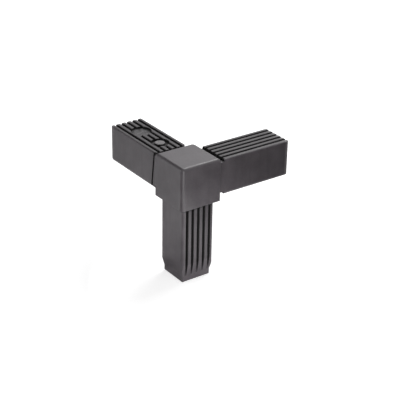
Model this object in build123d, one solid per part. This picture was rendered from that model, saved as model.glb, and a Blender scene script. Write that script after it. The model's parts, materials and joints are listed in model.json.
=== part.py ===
from build123d import *
import os
from math import radians, tan

# Three way corner connector for square tube, moulded in one piece: a cube that lies flush with
# the tubes, and a ribbed spigot pushed into the end of each tube.
# Millimetres. The origin is the middle of the cube's underside, where the end of the upright
# tube seats. +Z is up, the upright's spigot points down, and the level ones along +X and +Y.

# The tube that the connector joins
tube_size = 25.0  # outside width of the square tube
tube_wall = 2.0
rib_clearance = 0.05  # between the ribbed faces and the bore, on each side
side_clearance = 0.3  # between the smooth faces and the bore, on each side

# Cube: its edges are rounded like the tube's, and left nearly sharp where a tube end seats
cube_upright_radius = 2.2
cube_top_radius = 1.6
seat_edge_radius = 0.25

# How far each spigot stands out of the cube
right_length = 48.6
rear_length = 49.1
down_length = 45.8

# Ribs: slots between the smooth walls, cut from both ribbed faces down to a web
slot_count = 5
slot_width = 1.4
outer_wall = 2.2
web_thickness = 5.0
rib_edge_chamfer = 0.3
slot_floor_radius = 0.5
level_corner_radius = 0.9  # long edges of the spigots along X and Y
down_corner_radius = 1.8  # long edges of the downward spigot

# Plug that closes the slots at the spigot's end
plug_thickness = 3.5
plug_drop = 1.75  # below the rib tips
ramp_angle = 50.0  # slot floors rise towards the plug at this angle
runout_length = 4.2  # and run out gently over this length before it
runout_drop = 0.5

# Lead-in of the downward spigot: all faces curve in to the plug
nose_length = 11.0
nose_side_inset = 1.2
nose_edge_radius = 0.6

# Ends of the level spigots
end_upper_radius = 1.0
right_end_lower_radius = 2.0
rear_end_lower_radius = 3.75
end_side_radius = 1.6

# Relief beside the cube on the level spigots, so that a burred tube end still seats
neck_length = 4.2
neck_depth = 1.5
rib_start_radius = 0.4

# Leaning groove across both smooth faces of the rear spigot
side_groove_distance = 5.75  # from the cube to its middle
side_groove_lean = 6.8  # its upper end leans towards the cube by this angle
side_groove_width = 1.2
side_groove_depth = 1.0

# Round ejector pad and gate boss on top of the rear spigot
pad_distance = 33.2  # from the cube
pad_land = 1.5  # past the slots that it fills
pad_recess = 1.1  # below the rib tips
boss_distance = 14.4
boss_land = 0.9
boss_recess = 1.4
gate_radius = 2.85
gate_recess = 0.05
gate_edge_radius = 0.3

# Sizes that follow from these
bore = tube_size - 2 * tube_wall
spigot_height = bore - 2 * rib_clearance
spigot_width = bore - 2 * side_clearance
rib_tip = spigot_height / 2
slot_floor = web_thickness / 2
plug_face = rib_tip - plug_drop
runout_floor = plug_face - runout_drop
rib_thickness = (spigot_width - 2 * outer_wall - slot_count * slot_width) / (slot_count - 1)
slot_pitch = rib_thickness + slot_width
slot_places = [(i - (slot_count - 1) / 2) * slot_pitch for i in range(slot_count)]
pad_radius = slot_pitch + slot_width / 2 + pad_land
boss_radius = slot_pitch + slot_width / 2 + boss_land
cut_past = 1.0  # cutting shapes run this far past what they cut


# A spigot is modelled along +X from its seat on the cube, with its ribbed faces up and down.


def slot_section():
    """Cross-section of one slot: rounded at its floor, and flared at its mouth by the chamfered ribs."""
    half = slot_width / 2
    flare = half + rib_edge_chamfer + cut_past
    outline = make_face(
        Polyline(
            (-half, slot_floor),
            (-half, rib_tip - rib_edge_chamfer),
            (-flare, rib_tip + cut_past),
            (flare, rib_tip + cut_past),
            (half, rib_tip - rib_edge_chamfer),
            (half, slot_floor),
            close=True,
        )
    )
    return fillet(outline.vertices().group_by(Axis.Y)[0], slot_floor_radius)


def slot_outline(length):
    """Side view of one slot: its floor ramps up and runs out to the plug, and it passes over the plug."""
    plug_start = length - plug_thickness
    runout_start = plug_start - runout_length
    ramp_start = runout_start - (runout_floor - slot_floor) / tan(radians(ramp_angle))
    return make_face(
        Polyline(
            (0, slot_floor),
            (ramp_start, slot_floor),
            (runout_start, runout_floor),
            (plug_start, plug_face),
            (length + cut_past, plug_face),
            (length + cut_past, rib_tip + cut_past),
            (0, rib_tip + cut_past),
            close=True,
        )
    )


def slots(length):
    """All the slots of one spigot, as the space to cut."""
    slot = extrude(Plane.YZ * slot_section(), length + cut_past)
    slot &= extrude(Plane.XZ * slot_outline(length), tube_size / 2, both=True)
    upper = [Pos(0, place, 0) * slot for place in slot_places]
    return upper + [mirror(cut, Plane.XY) for cut in upper]


def spigot(length, corner_radius, side_outline, plan_outline):
    """Bar cut to its outlines from the side and from above, and slotted."""
    bar = extrude(Plane.YZ * RectangleRounded(spigot_width, spigot_height, corner_radius), length)
    bar &= extrude(Plane.XZ * side_outline, tube_size / 2, both=True)
    bar &= extrude(plan_outline, tube_size / 2, both=True)
    return bar - slots(length)


def nose_outline(length, half_size, inset):
    """View of the downward spigot: straight sides that curve in to the plug."""
    plug_start = length - plug_thickness
    bend = (plug_start - nose_length, half_size)
    shoulder = (plug_start, half_size - inset)
    upper = (
        Line((0, half_size), bend)
        + TangentArc(bend, shoulder, tangent=(1, 0))
        + Line(shoulder, (length, half_size - inset))
        + Line((length, half_size - inset), (length, 0))
    )
    upper += Line((length, 0), (0, 0)) + Line((0, 0), (0, half_size))
    half = make_face(upper)
    outline = half + mirror(half, Plane.XZ)
    return fillet(outline.vertices().group_by(Axis.X)[-1], nose_edge_radius)


def level_side_outline(length, end_lower_radius):
    """Side view of a level spigot: a relieved neck, and ribs rounded at both ends."""
    neck = rib_tip - neck_depth
    upper = [(0, neck), (neck_length, neck), (neck_length, rib_tip), (length, rib_tip)]
    lower = [(x, -y) for x, y in reversed(upper)]
    outline = make_face(Polyline(upper + lower, close=True))
    starts = outline.vertices().group_by(Axis.X)[1].sort_by(Axis.Y)
    outline = fillet([starts[0], starts[-1]], min(rib_start_radius, neck_depth / 2))
    ends = outline.vertices().group_by(Axis.X)[-1].sort_by(Axis.Y)
    outline = fillet(ends[-1], end_upper_radius)
    ends = outline.vertices().group_by(Axis.X)[-1].sort_by(Axis.Y)
    return fillet(ends[0], end_lower_radius)


def level_plan_outline(length):
    """Top view of a level spigot."""
    outline = Pos(length / 2, 0) * Rectangle(length, spigot_width)
    return fillet(outline.vertices().group_by(Axis.X)[-1], end_side_radius)


def level_spigot(length, end_lower_radius):
    return spigot(
        length,
        level_corner_radius,
        level_side_outline(length, end_lower_radius),
        level_plan_outline(length),
    )


def side_grooves():
    """What is cut from both smooth faces of the rear spigot beside the cube."""
    slab = Box(side_groove_width, tube_size, tube_size)
    slab = Pos(side_groove_distance, 0, 0) * Rot(0, -side_groove_lean, 0) * slab
    kept = Box(2 * tube_size, spigot_width - 2 * side_groove_depth, 2 * tube_size)
    return slab - kept


def round_pad(distance, radius, recess):
    """Pillar that fills the slots under a pad, and the space to clear above it."""
    top = rib_tip - recess
    on_floor = (Align.CENTER, Align.CENTER, Align.MIN)
    pillar = Pos(distance, 0, 0) * Cylinder(radius, top, align=on_floor)
    space = Pos(distance, 0, top) * Cylinder(radius, recess + cut_past, align=on_floor)
    return pillar, space


def gate_disc():
    """Raised disc in the middle of the gate boss."""
    height = boss_recess - gate_recess
    disc = Cylinder(gate_radius, height, align=(Align.CENTER, Align.CENTER, Align.MIN))
    disc = fillet(disc.edges().group_by(Axis.Z)[-1], min(gate_edge_radius, height / 2))
    return Pos(boss_distance, 0, rib_tip - boss_recess) * disc


def rear_spigot():
    """The level spigot with a groove across its sides, and two round pads on top."""
    body = level_spigot(rear_length, rear_end_lower_radius) - side_grooves()
    for distance, radius, recess in (
        (pad_distance, pad_radius, pad_recess),
        (boss_distance, boss_radius, boss_recess),
    ):
        pillar, space = round_pad(distance, radius, recess)
        body = body - space + pillar
    return body + gate_disc()


def down_spigot():
    return spigot(
        down_length,
        down_corner_radius,
        nose_outline(down_length, spigot_height / 2, plug_drop),
        nose_outline(down_length, spigot_width / 2, nose_side_inset),
    )


def cube():
    """Cube with its two plain upright edges and its top rounded."""
    block = Pos(0, 0, tube_size / 2) * Box(tube_size, tube_size, tube_size)
    uprights = block.edges().filter_by(Axis.Z).sort_by(lambda edge: edge.center().X + edge.center().Y)
    block = fillet([uprights[0], uprights[-1]], cube_upright_radius)
    block = fillet(block.edges().group_by(Axis.Z)[-1], cube_top_radius)
    return fillet(block.edges().group_by(Axis.Z)[0], seat_edge_radius)


# Where each spigot seats on the cube: x_dir is the way it points, z_dir the way its ribs face.
right_seat = Plane((tube_size / 2, 0, tube_size / 2), x_dir=(1, 0, 0), z_dir=(0, 0, 1))
rear_seat = Plane((0, tube_size / 2, tube_size / 2), x_dir=(0, 1, 0), z_dir=(0, 0, 1))
down_seat = Plane((0, 0, 0), x_dir=(0, 0, -1), z_dir=(0, 1, 0))

corner_connector = cube()
corner_connector += right_seat * level_spigot(right_length, right_end_lower_radius)
corner_connector += rear_seat * rear_spigot()
corner_connector += down_seat * down_spigot()

os.makedirs("parts", exist_ok=True)
export_step(corner_connector, "parts/corner_connector.step")
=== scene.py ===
import bpy
import json
from math import cos, radians, sin
from mathutils import Matrix, Vector

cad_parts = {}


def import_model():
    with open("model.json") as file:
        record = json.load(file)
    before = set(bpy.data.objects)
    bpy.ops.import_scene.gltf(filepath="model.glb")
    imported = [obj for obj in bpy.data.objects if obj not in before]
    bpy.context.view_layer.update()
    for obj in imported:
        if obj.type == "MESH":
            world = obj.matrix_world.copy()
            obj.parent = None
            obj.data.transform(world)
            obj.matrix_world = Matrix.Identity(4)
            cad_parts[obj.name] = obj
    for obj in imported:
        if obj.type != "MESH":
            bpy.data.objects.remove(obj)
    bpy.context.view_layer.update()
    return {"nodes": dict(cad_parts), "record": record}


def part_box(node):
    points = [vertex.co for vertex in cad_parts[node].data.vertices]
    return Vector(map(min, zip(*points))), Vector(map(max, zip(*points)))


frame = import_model()
MM = 0.001

# ---------------------------------------------------------------- places, from the frame
connector = frame["nodes"]["corner_connector"]
mounts = {m["name"]: m for m in frame["record"]["mounts"]}
rear_seat = Vector(mounts["spigot_rear"]["pos_m"])
rear_axis = Vector(mounts["spigot_rear"]["axis"])
low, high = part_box("corner_connector")
cube_centre = Vector((0, 0, high.z / 2))
past_cube = cube_centre.z + 0.1 * MM  # X or Y of a level spigot's first point
rib_tip = 10.45 * MM  # from the middle of a spigot
rib_top = cube_centre.z + rib_tip
gate_centre = rear_seat + rear_axis * 14.4 * MM
pad_centre = rear_seat + rear_axis * 33.2 * MM
gate_radius, pad_radius = 2.85 * MM, 5.85 * MM


# ---------------------------------------------------------------- materials
# Linear colours of the nylon, among them painted shade and painted highlight
PLAIN_DARK, PLAIN_PALE = (0.077, 0.068, 0.0755, 1), (0.098, 0.087, 0.096, 1)
FLOW_MARK = (0.062, 0.056, 0.061, 1)
GRAIN = (0.122, 0.110, 0.120, 1)
WORN_EDGE_AND_HIGHLIGHT = (0.132, 0.126, 0.131, 1)
PAINTED_RIB_SHADE = (0.030, 0.028, 0.030, 1)
CORNER_HIGHLIGHT = (0.260, 0.250, 0.258, 1)
PAD_DARK, PAD_PALE = (0.014, 0.013, 0.014, 1), (0.088, 0.082, 0.088, 1)
GATE_DARK, GATE_PALE = (0.125, 0.118, 0.124, 1), (0.220, 0.210, 0.216, 1)
PAINTED_SLOT_SHADE = (0.005, 0.005, 0.005, 1)


class Nodes:
    """Short names for building a node tree. A value is a number, a vector or another node's output."""

    def __init__(self, tree):
        self.tree = tree

    def add(self, kind, **settings):
        node = self.tree.nodes.new("ShaderNode" + kind)
        for key, value in settings.items():
            setattr(node, key, value)
        return node

    def put(self, socket, value):
        if isinstance(value, bpy.types.NodeSocket):
            self.tree.links.new(value, socket)
        else:
            socket.default_value = value

    def math(self, operation, first, second=0.5, clamp=False):
        node = self.add("Math", operation=operation, use_clamp=clamp)
        self.put(node.inputs[0], first)
        self.put(node.inputs[1], second)
        return node.outputs[0]

    def vector(self, operation, first, second=(0, 0, 0)):
        node = self.add("VectorMath", operation=operation)
        self.put(node.inputs[0], first)
        self.put(node.inputs[1], second)
        return node.outputs["Value" if operation in ("DOT_PRODUCT", "LENGTH") else "Vector"]

    def split(self, vector):
        """X, Y and Z of a vector."""
        node = self.add("SeparateXYZ")
        self.put(node.inputs[0], vector)
        return node.outputs

    def remap(self, value, start, end, low=0.0, high=1.0, smooth=False):
        node = self.add("MapRange", interpolation_type="SMOOTHSTEP" if smooth else "LINEAR")
        self.put(node.inputs["Value"], value)
        for name, number in (("From Min", start), ("From Max", end), ("To Min", low), ("To Max", high)):
            self.put(node.inputs[name], number)
        return node.outputs[0]

    def noise(self, vector, scale, detail=2.0, roughness=0.5):
        node = self.add("TexNoise")
        self.put(node.inputs["Vector"], vector)
        node.inputs["Scale"].default_value = scale
        node.inputs["Detail"].default_value = detail
        node.inputs["Roughness"].default_value = roughness
        return node.outputs["Fac"]

    def mix(self, factor, first, second):
        """Mix of two colours."""
        node = self.add("Mix", data_type="RGBA")
        self.put(node.inputs[0], factor)
        self.put(node.inputs[6], first)
        self.put(node.inputs[7], second)
        return node.outputs[2]

    def bump(self, height, depth, strength=1.0, normal=None):
        node = self.add("Bump")
        node.inputs["Strength"].default_value = strength
        node.inputs["Distance"].default_value = depth
        self.put(node.inputs["Height"], height)
        if normal is not None:
            self.put(node.inputs["Normal"], normal)
        return node.outputs["Normal"]


def disc_mask(n, place, centre, radius, softness, bottom, top):
    """1 on a disc that lies level on the rear spigot between two heights, 0 elsewhere."""
    level = n.vector("MULTIPLY", n.vector("SUBTRACT", place, tuple(centre)), (1, 1, 0))
    away = n.vector("LENGTH", level)
    inside = n.remap(away, radius - softness, radius + softness, 1, 0, smooth=True)
    height = n.split(place)["Z"]
    above = n.math("GREATER_THAN", height, bottom)
    below = n.math("LESS_THAN", height, top)
    return n.math("MULTIPLY", inside, n.math("MULTIPLY", above, below))


def rib_mask(n, at, on_level):
    """1 on the tips of the level ribs, half on the upright ones, 0 elsewhere."""
    just_under = rib_tip - 0.15 * MM
    off_middle = n.math("ABSOLUTE", n.math("SUBTRACT", at["Z"], cube_centre.z))
    level = n.math("MULTIPLY", n.math("GREATER_THAN", off_middle, just_under), on_level)
    upright = n.math("GREATER_THAN", n.math("ABSOLUTE", at["Y"]), just_under)
    upright = n.math("MULTIPLY", upright, n.math("LESS_THAN", at["Z"], 0.0))
    return n.math("MAXIMUM", level, n.math("MULTIPLY", upright, 0.5))


def corner_highlight_mask(n, at, on_level):
    """Where the painted highlight goes: 1 on the rounded ends of the level spigots, about half on their
    lower edges, 0 elsewhere.
    """
    mask = 0.0
    for axis, end in (("X", high.x), ("Y", high.y)):
        bend = n.remap(at[axis], end - 3.2 * MM, end - 1.2 * MM, smooth=True)
        but_not_face = n.remap(at[axis], end - 0.3 * MM, end - 0.1 * MM, 1, 0)
        mask = n.math("MAXIMUM", mask, n.math("MULTIPLY", bend, but_not_face))
    under = n.math("SUBTRACT", cube_centre.z, at["Z"])
    edge = n.remap(under, 8.7 * MM, 9.7 * MM, smooth=True)
    but_not_face = n.remap(under, rib_tip - 0.15 * MM, rib_tip - 0.05 * MM, 0.6, 0)
    edge = n.math("MULTIPLY", n.math("MULTIPLY", edge, but_not_face), on_level)
    return n.math("MAXIMUM", mask, edge)


def nylon():
    """Satin dark grey moulded nylon: faint flow marks, a fine sparked grain, edges painted paler (part
    wear, part painted highlight), painted shade in the slots and on the rib tips, and a painted highlight
    on the rounded corners.
    """
    material = bpy.data.materials.new("dark_nylon")
    material.use_nodes = True
    n = Nodes(material.node_tree)
    shader = material.node_tree.nodes["Principled BSDF"]
    place = n.add("TexCoord").outputs["Object"]
    at = n.split(place)

    # edges, where the softened normal leaves the true one
    softened = n.add("Bevel", samples=6)
    softened.inputs["Radius"].default_value = 0.4 * MM
    true_normal = n.add("NewGeometry").outputs["Normal"]
    turn = n.vector("DOT_PRODUCT", softened.outputs[0], true_normal)
    edge = n.remap(turn, 0.995, 0.80, smooth=True)

    # painted shade in the slots: 0 deep in a slot and 1 in the open; near the plug of the upright spigot
    # this painted shade is lifted
    cavity = n.add("AmbientOcclusion", samples=8, only_local=True)
    cavity.inputs["Distance"].default_value = 2.5 * MM
    openness = cavity.outputs["AO"]
    shade = n.remap(openness, 0.7, 1.0, smooth=True)
    near_plug = n.remap(at["Z"], low.z + 11 * MM, low.z + 5 * MM, 0, 0.6, smooth=True)
    shade = n.math("MAXIMUM", shade, near_plug)

    # plain faces: clouds, flow marks that run upright, and grain
    clouds = n.noise(place, 90, 3, 0.55)
    marks = n.noise(n.vector("MULTIPLY", place, (420, 420, 45)), 1, 2, 0.6)
    grain = n.noise(place, 1300, 3, 0.6)
    specks = n.noise(place, 4200, 1)
    colour = n.mix(n.remap(clouds, 0.4, 0.62), PLAIN_DARK, PLAIN_PALE)
    colour = n.mix(n.remap(marks, 0.45, 0.7, 0, 0.4), colour, FLOW_MARK)
    colour = n.mix(n.remap(grain, 0.35, 0.8, 0, 0.35), colour, GRAIN)
    # edges in the open are painted paler: part wear, part painted highlight
    open_edge = n.math("MULTIPLY", edge, n.math("GREATER_THAN", openness, 0.97))
    worn_and_highlit = n.math("MULTIPLY", open_edge, n.remap(clouds, 0.35, 0.6, 0.3, 0.8))
    colour = n.mix(worn_and_highlit, colour, WORN_EDGE_AND_HIGHLIGHT)

    # the rib tips get painted shade and are duller than the plain faces, and the rounded corners get a
    # painted highlight
    on_level = n.math("GREATER_THAN", n.math("MAXIMUM", at["X"], at["Y"]), past_cube)
    ribs = rib_mask(n, at, on_level)
    colour = n.mix(n.math("MULTIPLY", ribs, 0.6), colour, PAINTED_RIB_SHADE)
    # the rounded ends and lower edges of the level spigots are painted paler: a painted highlight
    corner_highlights = corner_highlight_mask(n, at, on_level)
    colour = n.mix(n.math("MULTIPLY", corner_highlights, 0.7), colour, CORNER_HIGHLIGHT)

    # the round pad is sparked coarsely, and the gate's disc is cut and pale
    blotches = n.noise(place, 520, 3, 0.7)
    pad = disc_mask(n, place, pad_centre, pad_radius, 0.05 * MM, rib_top - 1.5 * MM, rib_top - 0.7 * MM)
    colour = n.mix(pad, colour, n.mix(n.remap(blotches, 0.42, 0.6), PAD_DARK, PAD_PALE))
    gate = disc_mask(n, place, gate_centre, gate_radius, 0.1 * MM, rib_top - 0.5 * MM, rib_top + 0.1 * MM)
    colour = n.mix(gate, colour, n.mix(n.remap(blotches, 0.35, 0.65), GATE_DARK, GATE_PALE))

    # the slots are painted near black where the occlusion is deep: painted shade
    n.put(shader.inputs["Base Color"], n.mix(shade, PAINTED_SLOT_SHADE, colour))

    satin = n.remap(clouds, 0.3, 0.7, 0.34, 0.46)
    satin = n.math("ADD", satin, n.remap(grain, 0.3, 0.7, -0.03, 0.03))
    dull = n.math("MULTIPLY", n.math("MAXIMUM", pad, ribs), 0.15)
    dull = n.math("ADD", n.remap(shade, 0, 1, 0.6, 0), dull)
    n.put(shader.inputs["Roughness"], n.math("ADD", satin, dull, clamp=True))

    fine = n.math("ADD", n.math("MULTIPLY", grain, 0.7), n.math("MULTIPLY", specks, 0.3))
    surface = n.bump(fine, 0.04 * MM, 0.6, softened.outputs[0])
    coarse = n.math("MULTIPLY", blotches, n.math("MAXIMUM", pad, gate))
    n.put(shader.inputs["Normal"], n.bump(coarse, 0.3 * MM, 0.8, surface))
    return material


# ---------------------------------------------------------------- stage
def white_floor():
    """Pale floor, lifted to white for the camera; it keeps the shadow."""
    bpy.ops.mesh.primitive_plane_add(size=4, location=(0, 0, low.z))
    floor = bpy.context.object
    floor.name = "floor"
    material = bpy.data.materials.new("white_floor")
    material.use_nodes = True
    n = Nodes(material.node_tree)
    shader = material.node_tree.nodes["Principled BSDF"]
    shader.inputs["Base Color"].default_value = (0.8, 0.8, 0.8, 1)
    shader.inputs["Roughness"].default_value = 0.9
    shader.inputs["Specular IOR Level"].default_value = 0.1
    path = n.add("LightPath")
    glow = n.add("Emission")
    away = n.vector("LENGTH", n.add("TexCoord").outputs["Object"])
    white = n.remap(away, 0.05, 0.5, 0.64, 0.95)  # more where the lamps give less
    n.put(glow.inputs["Strength"], n.math("MULTIPLY", path.outputs["Is Camera Ray"], white))
    both = n.add("AddShader")
    n.put(both.inputs[0], shader.outputs[0])
    n.put(both.inputs[1], glow.outputs[0])
    n.put(material.node_tree.nodes["Material Output"].inputs["Surface"], both.outputs[0])
    floor.data.materials.append(material)


def world():
    """White where the camera or a reflection sees it, and a soft grey light elsewhere."""
    sky = bpy.data.worlds.new("studio")
    bpy.context.scene.world = sky
    sky.use_nodes = True
    n = Nodes(sky.node_tree)
    background = sky.node_tree.nodes["Background"]
    background.inputs["Color"].default_value = (1, 1, 1, 1)
    path = n.add("LightPath")
    seen = n.math("MAXIMUM", path.outputs["Is Camera Ray"], path.outputs["Is Glossy Ray"])
    seen = n.math("MAXIMUM", seen, path.outputs["Is Transmission Ray"])
    n.put(background.inputs["Strength"], n.remap(seen, 0, 1, 0.1, 1.0))


def direction(azimuth, elevation):
    """Azimuth 0 is behind the object and 90 is on its right."""
    turn, lift = radians(azimuth), radians(elevation)
    return Vector((sin(turn) * cos(lift), cos(turn) * cos(lift), sin(lift)))


def flag(name, corner_highlights, shades=False):
    """Black card that only reflections see; one that shades also keeps light off the object."""
    mesh = bpy.data.meshes.new(name)
    mesh.from_pydata(corner_highlights, [], [range(len(corner_highlights))])
    card = bpy.data.objects.new(name, mesh)
    bpy.context.scene.collection.objects.link(card)
    material = bpy.data.materials.new(name)
    material.use_nodes = True
    shader = material.node_tree.nodes["Principled BSDF"]
    shader.inputs["Base Color"].default_value = (0.02, 0.02, 0.02, 1)
    shader.inputs["Roughness"].default_value = 0.9
    mesh.materials.append(material)
    card.visible_camera = False
    card.visible_shadow = False
    card.visible_diffuse = shades


def floor_flag(name, azimuths, distances, shades=False):
    """Flag on the floor, between two azimuths and two distances from the object's foot."""
    lift = Vector((0, 0, low.z + 0.5 * MM))
    (start, end), (near, far) = azimuths, distances
    places = ((start, near), (end, near), (end, far), (start, far))
    flag(name, [lift + direction(turn, 0) * away for turn, away in places], shades)


def raised_flag(name, azimuths, elevations, distance):
    """Flag in the air, between two azimuths and two elevations as seen from the cube."""
    (start, end), (bottom, top) = azimuths, elevations
    places = ((start, bottom), (end, bottom), (end, top), (start, top))
    flag(name, [cube_centre + direction(turn, rise) * distance for turn, rise in places])


def softbox(name, place, aim, size, power):
    """Round area light."""
    light = bpy.data.lights.new(name, "AREA")
    light.shape = "DISK"
    light.size = size
    light.energy = power
    lamp = bpy.data.objects.new(name, light)
    bpy.context.scene.collection.objects.link(lamp)
    lamp.location = place
    lamp.rotation_mode = "QUATERNION"
    lamp.rotation_quaternion = (place - aim).to_track_quat("Z", "Y")
    lamp.visible_camera = False


def camera():
    """Camera at the photo's angle: from the front left, a little above and rolled by a degree."""
    azimuth, elevation, roll = radians(-36.0), radians(26.9), radians(1.08)
    back = Vector((sin(azimuth) * cos(elevation), -cos(azimuth) * cos(elevation), sin(elevation)))
    level = Vector((cos(azimuth), sin(azimuth), 0))
    upright = back.cross(level)
    right = level * cos(roll) + upright * sin(roll)
    up = upright * cos(roll) - level * sin(roll)
    data = bpy.data.cameras.new("camera")
    data.lens = 105.2
    data.clip_start = 0.05
    data.clip_end = 20
    view = bpy.data.objects.new("camera", data)
    bpy.context.scene.collection.objects.link(view)
    place = cube_centre + right * 6.53 * MM - up * 12.14 * MM + back * 625 * MM
    view.matrix_world = Matrix.Translation(place) @ Matrix((right, up, back)).transposed().to_4x4()
    bpy.context.scene.camera = view


# ---------------------------------------------------------------- scene
dark_nylon = nylon()
for slot in connector.material_slots:
    slot.material = dark_nylon

white_floor()
world()
camera()

# the key lights the top from the right and behind, and small fills lift the two faces that show
softbox("key", cube_centre + direction(68, 50) * 0.8, cube_centre, 0.6, 5.6)
softbox("left_fill", cube_centre + direction(300, -7) * 0.3, cube_centre, 0.07, 0.21)
softbox("front_fill", cube_centre + Vector((-60, -130, -20)) * MM, cube_centre, 0.06, 0.072)
foot = Vector((0, low.y, low.z + 10 * MM))  # front of the upright spigot, near its plug
softbox("side_fill", foot + Vector((-50, 30, 8)) * MM, foot, 0.03, 0.003)
softbox("foot_fill", foot + Vector((5, -40, -1)) * MM, foot, 0.04, 0.015)

# the flags draw the dark bands beside the rounded edges
floor_flag("right_flag", (105, 170), (0.08, 0.5), shades=True)
floor_flag("left_flag", (228, 290), (0.016, 0.3))
floor_flag("foot_flag", (290, 345), (0.014, 0.025))
raised_flag("back_flag", (300, 365), (20, 60), 0.4)
bpy.context.scene.view_settings.view_transform = "Standard"
